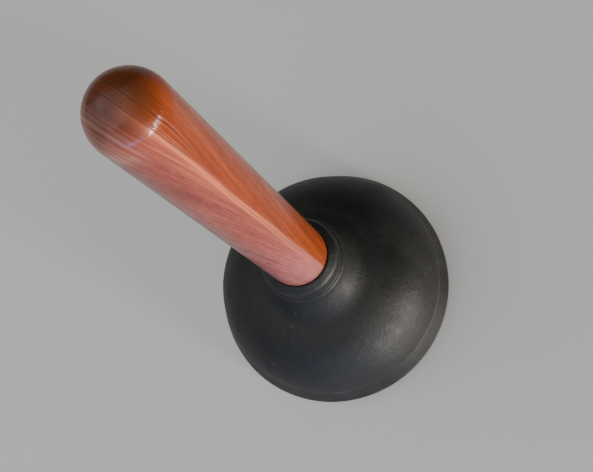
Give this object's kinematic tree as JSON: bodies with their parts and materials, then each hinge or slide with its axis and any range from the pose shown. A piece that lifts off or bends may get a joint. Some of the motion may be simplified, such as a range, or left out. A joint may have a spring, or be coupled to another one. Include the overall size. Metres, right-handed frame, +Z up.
{
  "type": "toilet plunger",
  "caption": "Toilet plunger: a springy bell-shaped rubber cup with a flared rim, on a thick straight wooden handle with a rounded end.",
  "frame": {"origin": "centre of the cup's mouth, in the plane that the rim stands on", "axes": "+Z up the handle, from the rim to the rounded end; X and Y are any two directions, because every piece is round"},
  "size_m": [0.1298, 0.1298, 0.296],
  "materials": {
    "varnished_wood": "satin varnish",
    "black_rubber": "satin, slightly scuffed",
    "zinc_plated_steel": "bright zinc plating"
  },
  "bodies": {
    "cup": {"cup_rim": "black_rubber", "cup_bell": "black_rubber"},
    "handle": {"handle": "varnished_wood", "cup_neck": "black_rubber", "washer": "zinc_plated_steel", "screw": "zinc_plated_steel"}
  },
  "joints": [
    {"name": "cup_squash", "type": "slide", "parent": "cup", "child": "handle", "axis": [0, 0, -1], "range_m": [0, 0.024], "stiffness_N_per_m": 2000, "springref_m": -0.002, "deforming": ["cup_bell"]}
  ]
}
